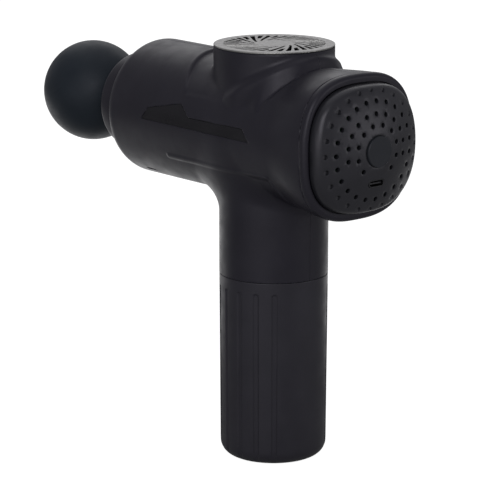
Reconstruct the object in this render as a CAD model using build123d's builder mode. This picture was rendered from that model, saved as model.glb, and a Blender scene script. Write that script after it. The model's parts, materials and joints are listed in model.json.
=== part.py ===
"""Handheld percussion massage gun with a round head, as separate solids.

Frame: +X points along the barrel towards the massage head, +Y is the gun's left
side and +Z is up.  The origin is the centre of the flat underside of the handle.
Millimetres throughout.
"""

import os
from math import cos, pi, radians, sin

from build123d import *

os.makedirs("parts", exist_ok=True)

# ---- driving dimensions -------------------------------------------------------------

# Handle
base_r = 25.0                 # radius of the grip at its foot
grip_top_r = 25.4             # radius of the grip at its upper edge
handle_r = 25.6               # radius of the bare handle above the grip
junction_fillet = 9.0         # rounding where the handle meets the barrel
grip_top_z = 88.5             # upper edge of the rubber grip
foot_round = 6.5              # rounding of the foot's edge
foot_lip_r = 18.4             # where the grip's rounded foot ends underneath
core_r = 23.2                 # handle tube under the grip
core_bore_r = 21.2
flute_foot_z = 3.0
flute_top_z = 82.0            # rounded upper ends of the grip's flutes
flute_r = 1.5
flute_depth = 0.45
flute_angles = (10, 30, 50, 130, 150, 170, 190, 210, 230, 310, 330, 350)

# Barrel
axis_z = 156.5                # height of the barrel and piston axis
barrel_r = 32.7
wall = 2.4
shoulder_x = 81.0             # where the round front shoulder starts
shoulder_length = 7.0
shoulder_height = 7.5
nose_opening_r = 22.9
collar_x = shoulder_x + shoulder_length
nose_x = 103.0                # front face of the nose ring
blend_x = -31.0               # the round barrel turns into a rounded square behind this
rear_x = -54.5                # seam between the housing and the rear rim
rear_half_w = 33.2
rear_half_h = 33.2
rear_power = 2.7              # squareness of the rear outline, 2 being a round one
belly_angle = 26.0            # the belly's inset starts this far below the axis
belly_inset = 1.1
belly_front_x = 40.0
belly_rear_x = -30.0

# Boss on top of the barrel
boss_r = 28.1
boss_bore_r = 25.5
boss_top_z = 195.7
skirt_r = 30.2
skirt_low_z = 178.2
skirt_low_x = -5.0
skirt_high_z = 194.0
skirt_high_x = -30.0
saddle_r = 41.6               # the recess round the boss reaches this far
saddle_z = 173.3
saddle_depth = 1.5
disc_top_z = 196.7
disc_thickness = 0.7
disc_slot_pairs = 17
disc_slot_swirl = 56.0        # degrees, the slots' lag at infinite radius

# Rear end
rim_x = -58.6                 # rear face of the rear rim
rim_opening_half_w = 31.0
rim_opening_half_h = 29.6
cover_gap = 0.6
cover_x = -71.15              # rearmost point of the domed cover
dome_r = 66.0
cover_thickness = 2.0
button_x = -71.85
button_r = 7.15
button_travel = 0.8
port_drop = 14.6              # charging port below the button
port_half_w = 4.7
port_half_h = 1.8

# Drive train
crank_throw = 6.0
pin_r = 2.5
roller_r = 5.0
yoke_slack = 1.35             # linear slide against cosine crank, each side
rod_r = 9.0
rod_bore_r = 6.6
rod_head_r = 10.5
socket_r = 6.05
stem_r = 6.0
rod_front_x = 106.0
fit = 0.05                    # radial running clearance
shaft_r = 2.5
rotor_r = 21.0
stator_r = 17.0
magnet_inner_r = 17.4
magnet_outer_r = 19.5
pole_count = 12
tooth_count = 9
plate_z = 165.2
plate_thickness = 3.0
fan_blades = 11
fan_r = 22.0

# Massage head
ball_x = 138.6
ball_r = 25.0
ball_wall = 2.8
neck_r = 11.0

# Battery
cell_r = 9.2
cell_length = 65.0
cell_bottom_z = 14.0
cell_circle_r = 10.85

# ---- axes, planes and helpers -------------------------------------------------------

barrel_axis = Axis((0, 0, axis_z), (1, 0, 0))


def across(x):
    """Plane across the barrel at x: its own x runs along +Y, its own y along +Z."""
    return Plane(origin=(x, 0, axis_z), x_dir=(0, 1, 0), z_dir=(1, 0, 0))


def squircle(half_w, half_h, power, count=24):
    """Points of a rounded square round its centre."""
    points = []
    for step in range(count):
        turn = 2 * pi * step / count
        c = cos(turn)
        s = sin(turn)
        u = half_w * (1 if c > 0 else -1) * abs(c) ** (2 / power)
        v = half_h * (1 if s > 0 else -1) * abs(s) ** (2 / power)
        points.append((u, v))
    return points


def squircle_bar(half_w, half_h, x_from, x_to):
    """Straight bar along the barrel with the rear end's rounded square section."""
    with BuildPart() as bar:
        with BuildSketch(across(x_from)):
            with BuildLine():
                Spline(*squircle(half_w, half_h, rear_power), periodic=True)
            make_face()
        extrude(amount=x_to - x_from)
    return bar.part


def turned_x(stations):
    """Solid turned about the barrel axis, from (x, radius) stations."""
    with BuildPart() as turned:
        with BuildSketch(Plane.XZ):
            with BuildLine():
                Polyline([(x, axis_z + r) for x, r in stations], close=True)
            make_face()
        revolve(axis=barrel_axis)
    return turned.part


def turned_z(stations):
    """Solid turned about the handle axis, from (radius, z) stations."""
    with BuildPart() as turned:
        with BuildSketch(Plane.XZ):
            with BuildLine():
                Polyline(stations, close=True)
            make_face()
        revolve(axis=Axis.Z)
    return turned.part


def rod_along(direction, centre, radius, length):
    """Round bar starting at a centre and running along a direction."""
    with BuildPart() as bar:
        with BuildSketch(Plane(origin=centre, z_dir=direction)):
            Circle(radius)
        extrude(amount=length)
    return bar.part


def save(builder, name):
    """Label one finished piece and write its STEP file."""
    builder.part.label = name
    export_step(builder.part, f"parts/{name}.step")


# ---- housing ------------------------------------------------------------------------


def gun_form(inset):
    """The barrel with its round shoulder and square rear end, shrunk by the inset."""
    radius = barrel_r - inset
    with BuildPart() as form:
        with BuildSketch(Plane.XZ):
            with BuildLine():
                shoulder = EllipticalCenterArc(
                    center=(shoulder_x, axis_z + barrel_r - shoulder_height),
                    x_radius=shoulder_length - inset,
                    y_radius=shoulder_height - inset,
                    start_angle=0,
                    arc_size=90,
                )
                Polyline(
                    shoulder @ 0,
                    ((shoulder @ 0).X, axis_z),
                    (blend_x, axis_z),
                    (blend_x, axis_z + radius),
                    shoulder @ 1,
                )
            make_face()
        revolve(axis=barrel_axis)
        with BuildSketch(across(blend_x)):
            Circle(radius)
        with BuildSketch(across(rear_x)):
            with BuildLine():
                Spline(
                    *squircle(rear_half_w - inset, rear_half_h - inset, rear_power),
                    periodic=True,
                )
            make_face()
        loft()
    return form.part


barrel_form = gun_form(0)
barrel_cavity = gun_form(wall)

with BuildPart() as belly_cut:
    with BuildSketch(Plane.XZ.offset(-60)):
        with BuildLine():
            low = axis_z - barrel_r * sin(radians(belly_angle))
            Polyline(
                (belly_front_x, low),
                (belly_rear_x, low),
                (belly_rear_x - 12, low - 22),
                (belly_front_x + 12, low - 22),
                close=True,
            )
        make_face()
    extrude(amount=120)
    with BuildSketch(across(belly_rear_x - 20)):
        Circle(barrel_r - belly_inset)
    extrude(amount=belly_front_x - belly_rear_x + 40, mode=Mode.SUBTRACT)

with BuildPart() as saddle_cut:
    with BuildSketch(Plane.XY.offset(saddle_z)):
        Circle(saddle_r)
    extrude(amount=30)
    with BuildSketch(Plane.XZ.offset(-60)):
        with BuildLine():
            Polyline(
                (-23, saddle_z - 1),
                (-23, saddle_z + 1),
                (-34, saddle_z + 22),
                (-60, saddle_z + 32),
                (-60, saddle_z - 1),
                close=True,
            )
        make_face()
    extrude(amount=120, mode=Mode.SUBTRACT)
    with BuildSketch(across(-70)):
        Circle(barrel_r - saddle_depth)
    extrude(amount=140, mode=Mode.SUBTRACT)

panel_outline = [
    (58.4, axis_z + 0.6),
    (54.1, axis_z + 6.4),
    (30.8, axis_z + 11.2),
    (23.7, axis_z + 5.6),
    (-14.3, axis_z + 5.9),
    (-19.6, axis_z + 0.2),
]
panel_depth = 0.7


def side_panels(margin, inner_r, outer_r):
    """The slim panels on both flanks, between two radii, shrunk by a margin."""
    with BuildPart() as panels:
        with BuildSketch(Plane.XZ.offset(-60)):
            with BuildLine():
                Polyline(panel_outline, close=True)
            make_face()
            if margin:
                offset(amount=-margin, kind=Kind.INTERSECTION, mode=Mode.REPLACE)
        extrude(amount=120)
        with BuildSketch(across(-40)):
            Circle(outer_r)
        extrude(amount=110, mode=Mode.INTERSECT)
        with BuildSketch(across(-40)):
            Circle(inner_r)
        extrude(amount=110, mode=Mode.SUBTRACT)
    return panels.part


ledge_top_z = 164.2
ledge_spots = [(sx * 14, sy * 22.5) for sx in (-1, 1) for sy in (-1, 1)]
rim_screw_spots = [(sy * 21.0, sz * 20.2) for sy in (-1, 1) for sz in (-1, 1)]
clamp_x = 18.0
clamp_z = 93.0
clamp_boss_r = 3.4

with BuildPart() as skirt:
    # Collar round the boss, its upper edge sloping up to the rear.
    with BuildSketch(Plane.XY.offset(axis_z)):
        Circle(skirt_r)
    extrude(amount=boss_top_z - axis_z)
    with BuildSketch(Plane.XZ.offset(-60)):
        with BuildLine():
            Polyline(
                (skirt_high_x - 4, skirt_high_z + 1),
                (skirt_high_x, skirt_high_z),
                (skirt_low_x, skirt_low_z),
                (60, skirt_low_z),
                (60, skirt_low_z + 60),
                (skirt_high_x - 4, skirt_low_z + 60),
                close=True,
            )
        make_face()
    extrude(amount=120, mode=Mode.SUBTRACT)

with BuildPart() as shell:
    add(barrel_form)
    add(belly_cut.part, mode=Mode.SUBTRACT)
    add(saddle_cut.part, mode=Mode.SUBTRACT)
    add(skirt.part)
    with BuildSketch(Plane.XY.offset(axis_z)):
        Circle(boss_r)
    extrude(amount=boss_top_z - axis_z)
    # Bare handle, and the thinner tube that carries the grip.
    with BuildSketch(Plane.XY.offset(grip_top_z)):
        Circle(handle_r)
    extrude(amount=axis_z - grip_top_z)
    junction = shell.edges().filter_by(GeomType.BSPLINE)
    junction = junction.filter_by(lambda edge: edge.bounding_box().max.Z < axis_z - barrel_r / 2)
    fillet(junction, junction_fillet)
    with BuildSketch(Plane.XY.offset(7.2)):
        Circle(core_r)
    extrude(amount=grip_top_z - 7.2)
    add(side_panels(0, barrel_r - panel_depth, barrel_r + 1), mode=Mode.SUBTRACT)
    # Hollow inside.
    add(barrel_cavity, mode=Mode.SUBTRACT)
    with BuildSketch(Plane.XY.offset(axis_z)):
        Circle(boss_bore_r)
    extrude(amount=60, mode=Mode.SUBTRACT)
    with BuildSketch(Plane.XY.offset(grip_top_z + wall)):
        Circle(handle_r - wall)
    extrude(amount=axis_z - grip_top_z, mode=Mode.SUBTRACT)
    with BuildSketch(Plane.XY):
        Circle(core_bore_r)
    extrude(amount=axis_z, mode=Mode.SUBTRACT)
    # Nose opening that the nose ring's spigot fills.
    with BuildSketch(across(collar_x - 10)):
        Circle(nose_opening_r)
    extrude(amount=30, mode=Mode.SUBTRACT)

with BuildPart() as ledges:
    # Four ledges that carry the drive frame, and two bosses for the clamp screws.
    for spot_x, spot_y in ledge_spots:
        outward = 1 if spot_y > 0 else -1
        with BuildSketch(Plane.XY.offset(157.5)):
            with Locations((spot_x, spot_y + outward * 4)):
                Rectangle(8, 16)
        extrude(amount=ledge_top_z - 157.5)
    with BuildSketch(across(-35)):
        Circle(barrel_r - wall + 0.4)
    extrude(amount=70, mode=Mode.INTERSECT)
    for spot_x, spot_y in ledge_spots:
        with BuildSketch(Plane.XY.offset(150)):
            with Locations((spot_x, spot_y)):
                Circle(1.25)
        extrude(amount=20, mode=Mode.SUBTRACT)

with BuildPart() as rear_bosses:
    for spot_y, spot_z in rim_screw_spots:
        with BuildSketch(across(rear_x)):
            with Locations((spot_y, spot_z)):
                Circle(3.2)
        extrude(amount=10)
    add(squircle_bar(rear_half_w - 1.4, rear_half_h - 1.4, rear_x, rear_x + 10), mode=Mode.INTERSECT)
    for spot_y, spot_z in rim_screw_spots:
        with BuildSketch(across(rear_x)):
            with Locations((spot_y, spot_z)):
                Circle(1.0)
        extrude(amount=8.5, mode=Mode.SUBTRACT)

with BuildPart() as clamp_bosses:
    for side in (-1, 1):
        with BuildSketch(Plane(origin=(side * clamp_x, 14, clamp_z), z_dir=(0, -1, 0))):
            Circle(clamp_boss_r)
        extrude(amount=28)
    with BuildSketch(Plane.XY.offset(80)):
        Circle(handle_r - 1.2)
    extrude(amount=30, mode=Mode.INTERSECT)

with BuildPart() as whole_shell:
    add(shell.part)
    add(ledges.part)
    add(rear_bosses.part)
    add(clamp_bosses.part)
    # Clamp screw holes from the right side: head recess, shank, thread.
    for side in (-1, 1):
        with BuildSketch(Plane(origin=(side * clamp_x, -30, clamp_z), z_dir=(0, 1, 0))):
            Circle(2.9)
        extrude(amount=16.2, mode=Mode.SUBTRACT)
        with BuildSketch(Plane(origin=(side * clamp_x, -20, clamp_z), z_dir=(0, 1, 0))):
            Circle(1.3)
        extrude(amount=30.5, mode=Mode.SUBTRACT)
    # Slim air slots under the nose and behind the handle.
    for slot_x, slot_turn in ((69.0, -57.0), (-36.0, -57.0)):
        for side in (0, 1):
            turn = slot_turn if side == 0 else 180 - slot_turn
            outward = Vector(0, cos(radians(turn)), sin(radians(turn)))
            with BuildSketch(
                Plane(
                    origin=Vector(slot_x, 0, axis_z) + outward * 26,
                    x_dir=(1, 0, 0),
                    z_dir=outward,
                )
            ):
                SlotOverall(7, 1.4)
            extrude(amount=14, mode=Mode.SUBTRACT)

with BuildPart() as housing_left:
    add(whole_shell.part)
    split(bisect_by=Plane.XZ, keep=Keep.BOTTOM)
save(housing_left, "housing_left")

with BuildPart() as housing_right:
    add(whole_shell.part)
    split(bisect_by=Plane.XZ, keep=Keep.TOP)
save(housing_right, "housing_right")

with BuildPart() as panels:
    add(side_panels(0.15, barrel_r - panel_depth, barrel_r - 0.2))
for side_name, side_keep in (("left", Keep.BOTTOM), ("right", Keep.TOP)):
    with BuildPart() as side_panel:
        add(panels.part)
        split(bisect_by=Plane.XZ, keep=side_keep)
    save(side_panel, f"side_panel_{side_name}")

with BuildPart() as clamp_screws:
    for side in (-1, 1):
        add(rod_along((0, 1, 0), (side * clamp_x, -15.6, clamp_z), 2.6, 1.8))
        add(rod_along((0, 1, 0), (side * clamp_x, -13.8, clamp_z), 1.25, 23))
save(clamp_screws, "housing_screws")

with BuildPart() as screw_caps:
    # Plugs over the clamp screws, flush with the handle.
    for side in (-1, 1):
        add(rod_along((0, 1, 0), (side * clamp_x, -26, clamp_z), 2.84, 10.2))
    with BuildSketch(Plane.XY.offset(clamp_z - 5)):
        Circle(handle_r)
    extrude(amount=10, mode=Mode.INTERSECT)
save(screw_caps, "screw_caps")

# ---- nose ---------------------------------------------------------------------------

collar_r = 24.0
collar_round = 3.2
opening_r = 13.5
seal_seat_r = 16.0
spigot_r = nose_opening_r - 0.1
spigot_length = 5.0
spigot_wall = 1.8
with BuildPart() as nose_ring:
    with BuildSketch(Plane.XZ):
        with BuildLine():
            brow = CenterArc(
                center=(nose_x - collar_round, axis_z + collar_r - collar_round),
                radius=collar_round,
                start_angle=0,
                arc_size=90,
            )
            Polyline(
                brow @ 0,
                (nose_x, axis_z + opening_r + 1.5),
                (nose_x - 1.5, axis_z + opening_r),
                (nose_x - 6.0, axis_z + opening_r),
                (nose_x - 6.0, axis_z + seal_seat_r),
                (nose_x - 11.0, axis_z + seal_seat_r),
                (nose_x - 11.0, axis_z + spigot_r - spigot_wall),
                (collar_x - spigot_length, axis_z + spigot_r - spigot_wall),
                (collar_x - spigot_length, axis_z + spigot_r),
                (collar_x, axis_z + spigot_r),
                (collar_x, axis_z + collar_r),
                brow @ 1,
            )
        make_face()
    revolve(axis=barrel_axis)
save(nose_ring, "nose_ring")

with BuildPart() as nose_seal:
    add(
        turned_x(
            [
                (nose_x - 11.0, seal_seat_r),
                (nose_x - 6.05, seal_seat_r),
                (nose_x - 6.05, 12.5),
                (nose_x - 7.5, 12.5),
                (nose_x - 9.0, rod_head_r + 0.3),
                (nose_x - 9.6, rod_head_r + 0.3),
                (nose_x - 9.0, 14.0),
                (nose_x - 11.0, 14.0),
            ]
        )
    )
save(nose_seal, "nose_seal")

# ---- rear end -----------------------------------------------------------------------

rim_screw_flange_x = rear_x - 2.0
with BuildPart() as rear_rim:
    add(squircle_bar(rear_half_w + 0.2, rear_half_h + 0.2, rim_x, rear_x - 0.3))
    rear_edges = rear_rim.faces().sort_by(Axis.X)[0].edges()
    fillet(rear_edges, 2.2)
    front_edges = rear_rim.faces().sort_by(Axis.X)[-1].edges()
    fillet(front_edges, 0.5)
    add(squircle_bar(rear_half_w - wall - 0.6, rear_half_h - wall - 0.6, rear_x - 0.3, rear_x + 2))
    add(
        squircle_bar(rim_opening_half_w, rim_opening_half_h, rim_x - 1, rim_screw_flange_x),
        mode=Mode.SUBTRACT,
    )
    add(
        squircle_bar(rim_opening_half_w - 5.5, rim_opening_half_h - 5.5, rim_x, rear_x + 4),
        mode=Mode.SUBTRACT,
    )
    for spot_y, spot_z in rim_screw_spots:
        with BuildSketch(across(rear_x)):
            with Locations((spot_y, spot_z)):
                Circle(3.4)
        extrude(amount=4, mode=Mode.SUBTRACT)
        with BuildSketch(across(rear_x - 4)):
            with Locations((spot_y, spot_z)):
                Circle(1.3)
        extrude(amount=8, mode=Mode.SUBTRACT)
save(rear_rim, "rear_rim")

with BuildPart() as rim_screws:
    for spot_y, spot_z in rim_screw_spots:
        with BuildSketch(across(rim_screw_flange_x - 1.6)):
            with Locations((spot_y, spot_z)):
                Circle(2.3)
        extrude(amount=1.6)
        with BuildSketch(across(rim_screw_flange_x)):
            with Locations((spot_y, spot_z)):
                Circle(0.98)
        extrude(amount=9.0)
save(rim_screws, "rim_screws")

cover_front_x = rim_screw_flange_x - 1.9
cover_half_w = rim_opening_half_w - cover_gap
cover_half_h = rim_opening_half_h - cover_gap
cover_edge_round = 4.2


def domed_cover(inset):
    """Pillow-shaped cover body: squircle bar cut by a large sphere, edge rounded."""
    with BuildPart() as block:
        add(squircle_bar(cover_half_w - inset, cover_half_h - inset, cover_x - 2, cover_front_x))
        with Locations((cover_x + dome_r, 0, axis_z)):
            Sphere(dome_r - inset, mode=Mode.INTERSECT)
        dome_edges = block.faces().sort_by(Axis.X)[0].edges()
        fillet(dome_edges, cover_edge_round - inset)
    return block.part


def dome_depth(radius):
    """How far the dome has fallen from its rearmost point at a radius."""
    return dome_r - (dome_r**2 - radius**2) ** 0.5


hole_r = 1.12
hole_spots = []
for index in range(12):
    turn = 15 + 30 * index
    if turn not in (255, 285):
        hole_spots.append((11.8, turn))
for index in range(11):
    hole_spots.append((16.8, -10 + 20 * index))
for index in range(23):
    hole_spots.append((22.3, index * 360 / 23))
dimple_ring_r = 27.2
dimple_turns = [index * 15 for index in range(24)]

with BuildPart() as rear_cover:
    add(domed_cover(0))
    add(domed_cover(cover_thickness), mode=Mode.SUBTRACT)
    with BuildSketch(across(cover_x - 2)):
        Circle(button_r + 0.2)
        for ring_r, turn in hole_spots:
            with Locations((ring_r * cos(radians(turn)), ring_r * sin(radians(turn)))):
                Circle(hole_r)
        with Locations((0, -port_drop)):
            SlotOverall(2 * port_half_w, 2 * port_half_h)
    extrude(amount=8.5, mode=Mode.SUBTRACT)
    with BuildSketch(across(cover_x - 2)):
        for turn in dimple_turns:
            spot_y = dimple_ring_r * cos(radians(turn))
            spot_z = dimple_ring_r * sin(radians(turn))
            with Locations((spot_y, spot_z)):
                Circle(hole_r)
    extrude(amount=2 + dome_depth(dimple_ring_r) + 0.6, mode=Mode.SUBTRACT)
save(rear_cover, "rear_cover")

board_x = -62.0
switch_height = 4.3
with BuildPart() as power_button:
    with BuildSketch(across(button_x)):
        Circle(button_r)
    extrude(amount=3.6)
    chamfer(power_button.edges().group_by(Axis.X)[0], 0.3)
    with BuildSketch(across(button_x + 3.6)):
        Circle(2.0)
    extrude(amount=board_x - switch_height - 1.0 - button_x - 3.6)
    with BuildSketch(across(button_x + 3.3)):
        Circle(button_r + 1.0)
    extrude(amount=0.9)
save(power_button, "power_button")

with BuildPart() as button_switch:
    with BuildSketch(across(board_x - 3.0)):
        Rectangle(6, 6)
    extrude(amount=3.0)
    with BuildSketch(across(board_x - switch_height)):
        Circle(1.7)
    extrude(amount=switch_height - 3.0)
save(button_switch, "button_switch")

board_thickness = 1.6
board_r = 23.0
with BuildPart() as control_board:
    with BuildSketch(across(board_x)):
        Circle(board_r)
        with Locations((0, board_r - 2.0)):
            Rectangle(9, 5, mode=Mode.SUBTRACT)
    extrude(amount=board_thickness)
    for spot_y in (-17.0, 17.0):
        with BuildSketch(across(board_x)):
            with Locations((spot_y, 0)):
                Circle(1.3)
        extrude(amount=board_thickness, mode=Mode.SUBTRACT)
save(control_board, "control_board")

bracket_thickness = 1.6
bracket_back_x = rim_screw_flange_x - bracket_thickness
with BuildPart() as board_bracket:
    # Pillars from the rim's flange plane that carry the control board.
    for spot_y in (-17.0, 17.0):
        with BuildSketch(across(board_x + board_thickness)):
            with Locations((spot_y, 0)):
                Circle(2.4)
        extrude(amount=bracket_back_x - board_x - board_thickness)
    with BuildSketch(across(bracket_back_x)):
        Rectangle(52.0, 5)
    extrude(amount=bracket_thickness)
save(board_bracket, "board_bracket")

with BuildPart() as board_screws:
    for spot_y in (-17.0, 17.0):
        with BuildSketch(across(board_x - 1.2)):
            with Locations((spot_y, 0)):
                Circle(2.2)
        extrude(amount=1.2)
save(board_screws, "board_screws")

with BuildPart() as board_components:
    for spot_y, spot_z, size_y, size_z, height in (
        (-9, 6, 5, 6, 2.3),
        (-2, 8, 5, 6, 2.3),
        (5, 6, 5, 6, 2.3),
        (8, -6, 7, 7, 1.2),
        (-8, -7, 6, 4, 2.0),
    ):
        with BuildSketch(across(board_x + board_thickness)):
            with Locations((spot_y, spot_z)):
                Rectangle(size_y, size_z)
        extrude(amount=height)
save(board_components, "board_components")

with BuildPart() as charging_port:
    with BuildSketch(across(cover_x + 1.6)):
        with Locations((0, -port_drop)):
            SlotOverall(2 * port_half_w - 0.3, 2 * port_half_h - 0.3)
            SlotOverall(2 * port_half_w - 1.1, 2 * port_half_h - 1.1, mode=Mode.SUBTRACT)
    extrude(amount=board_x - cover_x - 1.6)
    with BuildSketch(across(board_x - 1.2)):
        with Locations((0, -port_drop)):
            SlotOverall(2 * port_half_w - 0.3, 2 * port_half_h - 0.3)
    extrude(amount=1.2)
    with BuildSketch(across(cover_x + 2.4)):
        with Locations((0, -port_drop)):
            Rectangle(2 * port_half_w - 2.9, 0.7)
    extrude(amount=board_x - 1.2 - cover_x - 2.4)
save(charging_port, "charging_port")

# ---- top disc -----------------------------------------------------------------------

slot_inner_r = 0.34 * boss_r
slot_middle_r = 0.60 * boss_r
slot_outer_r = 0.83 * boss_r


def swirl_point(radius, turn, half_width):
    """Point beside a slot's centreline, which lags behind as the radius grows."""
    lag = disc_slot_swirl * (1 - slot_inner_r / radius)
    angle = radians(turn - lag) + half_width / radius
    return (radius * cos(angle), radius * sin(angle))


def swirl_slot(turn, from_r, to_r):
    """Outline of one swirling slot of the disc, filled."""
    middle_r = (from_r + to_r) / 2
    narrow = 0.5
    wide = 0.9
    with BuildSketch() as slot:
        with BuildLine():
            leading = ThreePointArc(
                swirl_point(from_r, turn, narrow),
                swirl_point(middle_r, turn, (narrow + wide) / 2),
                swirl_point(to_r, turn, wide),
            )
            trailing = ThreePointArc(
                swirl_point(to_r, turn, -wide),
                swirl_point(middle_r, turn, -(narrow + wide) / 2),
                swirl_point(from_r, turn, -narrow),
            )
            Line(leading @ 1, trailing @ 0)
            Line(trailing @ 1, leading @ 0)
        make_face()
    return slot.sketch


disc_slots = []
for index in range(disc_slot_pairs):
    slot_turn = index * 360 / disc_slot_pairs
    disc_slots.append(swirl_slot(slot_turn, slot_inner_r, slot_outer_r))
    disc_slots.append(swirl_slot(slot_turn + 180 / disc_slot_pairs, slot_middle_r, slot_outer_r))

disc_bottom_z = disc_top_z - disc_thickness
with BuildPart() as top_disc:
    with BuildSketch(Plane.XY.offset(disc_bottom_z)):
        Circle(boss_r)
        for disc_slot in disc_slots:
            add(disc_slot, mode=Mode.SUBTRACT)
    extrude(amount=disc_thickness)
    chamfer(top_disc.edges().group_by(Axis.Z)[-1].sort_by(SortBy.LENGTH)[-1], 0.4)
    with BuildSketch(Plane.XY.offset(disc_bottom_z - 4.2)):
        Circle(boss_bore_r - 0.1)
        Circle(boss_bore_r - 1.6, mode=Mode.SUBTRACT)
    extrude(amount=4.2)
save(top_disc, "top_disc")

with BuildPart() as disc_gasket:
    add(
        turned_z(
            [
                (boss_bore_r + 0.1, boss_top_z),
                (boss_r - 0.6, boss_top_z),
                (boss_r - 0.6, disc_bottom_z),
                (boss_bore_r + 0.1, disc_bottom_z),
            ]
        )
    )
save(disc_gasket, "disc_gasket")

# ---- drive frame --------------------------------------------------------------------

block_front_x = 78.0
block_back_x = 44.0
guide_r = 13.6
bush_r = 11.0
plate_half_l = 19.0
lead_groove_depth = 1.4
bearing_tube_r = 6.5
bearing_seat_r = 5.0
with BuildPart() as drive_frame:
    with BuildSketch(Plane.XY.offset(plate_z)):
        RectangleRounded(2 * plate_half_l, 52, 4)
        with Locations((40, 0)):
            Rectangle(44, 22)
    extrude(amount=plate_thickness)
    # Groove that the motor's leads lie in.
    with BuildSketch(Plane.XY.offset(plate_z + plate_thickness - lead_groove_depth)):
        with Locations((-plate_half_l, 0)):
            Rectangle(2 * (plate_half_l - bearing_tube_r - 1.5), 5)
    extrude(amount=lead_groove_depth, mode=Mode.SUBTRACT)
    with BuildSketch(across(block_back_x)):
        Circle(guide_r)
    extrude(amount=block_front_x - block_back_x)
    with BuildSketch(across(block_back_x)):
        Circle(bush_r)
    extrude(amount=block_front_x - block_back_x, mode=Mode.SUBTRACT)
    with BuildSketch(across(plate_half_l)):
        Circle(rod_r + 0.8)
    extrude(amount=block_back_x - plate_half_l, mode=Mode.SUBTRACT)
    with BuildSketch(Plane.XY.offset(plate_z)):
        Circle(bearing_tube_r)
    extrude(amount=16.8)
    with BuildSketch(Plane.XY.offset(plate_z - 1)):
        Circle(bearing_seat_r)
    extrude(amount=20, mode=Mode.SUBTRACT)
    for spot_x, spot_y in ledge_spots:
        with BuildSketch(Plane.XY.offset(plate_z)):
            with Locations((spot_x, spot_y)):
                Circle(1.6)
        extrude(amount=plate_thickness, mode=Mode.SUBTRACT)
save(drive_frame, "drive_frame")

with BuildPart() as frame_dampers:
    for spot_x, spot_y in ledge_spots:
        with BuildSketch(Plane.XY.offset(ledge_top_z)):
            with Locations((spot_x, spot_y)):
                Circle(3.2)
                Circle(1.6, mode=Mode.SUBTRACT)
        extrude(amount=plate_z - ledge_top_z)
save(frame_dampers, "frame_dampers")

with BuildPart() as frame_screws:
    for spot_x, spot_y in ledge_spots:
        with BuildSketch(Plane.XY.offset(plate_z + plate_thickness)):
            with Locations((spot_x, spot_y)):
                Circle(2.6)
        extrude(amount=1.5)
        with BuildSketch(Plane.XY.offset(plate_z + plate_thickness - 9.5)):
            with Locations((spot_x, spot_y)):
                Circle(1.2)
        extrude(amount=9.5)
save(frame_screws, "frame_screws")

with BuildPart() as guide_bush:
    with BuildSketch(across(block_back_x)):
        Circle(bush_r)
        Circle(rod_r + fit, mode=Mode.SUBTRACT)
    extrude(amount=block_front_x - block_back_x)
save(guide_bush, "guide_bush")

# ---- motor --------------------------------------------------------------------------

stack_bottom_z = plate_z + plate_thickness + 2.0
stack_height = 11.0
with BuildPart() as stator_core:
    with BuildSketch(Plane.XY.offset(stack_bottom_z)):
        Circle(8.2)
        with PolarLocations(0, tooth_count):
            with Locations((11.5, 0)):
                Rectangle(9.0, 2.8)
        for index in range(tooth_count):
            half_shoe = 360 / tooth_count * 0.39
            centre_turn = index * 360 / tooth_count
            with BuildLine():
                outer = ThreePointArc(
                    PolarLine((0, 0), stator_r, centre_turn - half_shoe, mode=Mode.PRIVATE) @ 1,
                    PolarLine((0, 0), stator_r, centre_turn, mode=Mode.PRIVATE) @ 1,
                    PolarLine((0, 0), stator_r, centre_turn + half_shoe, mode=Mode.PRIVATE) @ 1,
                )
                inner = ThreePointArc(
                    PolarLine((0, 0), 15.4, centre_turn + half_shoe, mode=Mode.PRIVATE) @ 1,
                    PolarLine((0, 0), 15.4, centre_turn, mode=Mode.PRIVATE) @ 1,
                    PolarLine((0, 0), 15.4, centre_turn - half_shoe, mode=Mode.PRIVATE) @ 1,
                )
                Line(outer @ 1, inner @ 0)
                Line(inner @ 1, outer @ 0)
            make_face()
        Circle(bearing_tube_r, mode=Mode.SUBTRACT)
    extrude(amount=stack_height)
save(stator_core, "stator_core")

with BuildPart() as stator_windings:
    for index in range(tooth_count):
        centre_turn = index * 360 / tooth_count
        coil_plane = Plane.XY.offset(stack_bottom_z - 1.3).rotated((0, 0, centre_turn))
        with BuildSketch(coil_plane):
            with Locations((12.1, 0)):
                RectangleRounded(5.4, 5.6, 1.0)
        extrude(amount=stack_height + 2.6)
        with BuildSketch(Plane.XY.offset(stack_bottom_z).rotated((0, 0, centre_turn))):
            with Locations((12.1, 0)):
                Rectangle(8, 2.8)
        extrude(amount=stack_height, mode=Mode.SUBTRACT)
save(stator_windings, "stator_windings")

bearing_width = 3.0
with BuildPart() as motor_bearings:
    for bottom_z in (plate_z + 0.3, plate_z + 13.5):
        with BuildSketch(Plane.XY.offset(bottom_z)):
            Circle(bearing_seat_r)
            Circle(shaft_r + 0.03, mode=Mode.SUBTRACT)
        extrude(amount=bearing_width)
save(motor_bearings, "motor_bearings")

bell_bottom_z = plate_z + plate_thickness + 0.6
bell_top_z = 185.0
with BuildPart() as rotor_bell:
    add(
        turned_z(
            [
                (magnet_outer_r, bell_bottom_z),
                (rotor_r, bell_bottom_z),
                (rotor_r, bell_top_z - 1.2),
                (rotor_r - 1.2, bell_top_z),
                (shaft_r, bell_top_z),
                (shaft_r, bell_top_z - 2.2),
                (magnet_outer_r, bell_top_z - 2.2),
            ]
        )
    )
    with BuildSketch(Plane.XY.offset(bell_top_z - 3)):
        with PolarLocations(12.5, 6):
            SlotOverall(7, 3.4, rotation=90)
    extrude(amount=4, mode=Mode.SUBTRACT)
save(rotor_bell, "rotor_bell")

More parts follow.
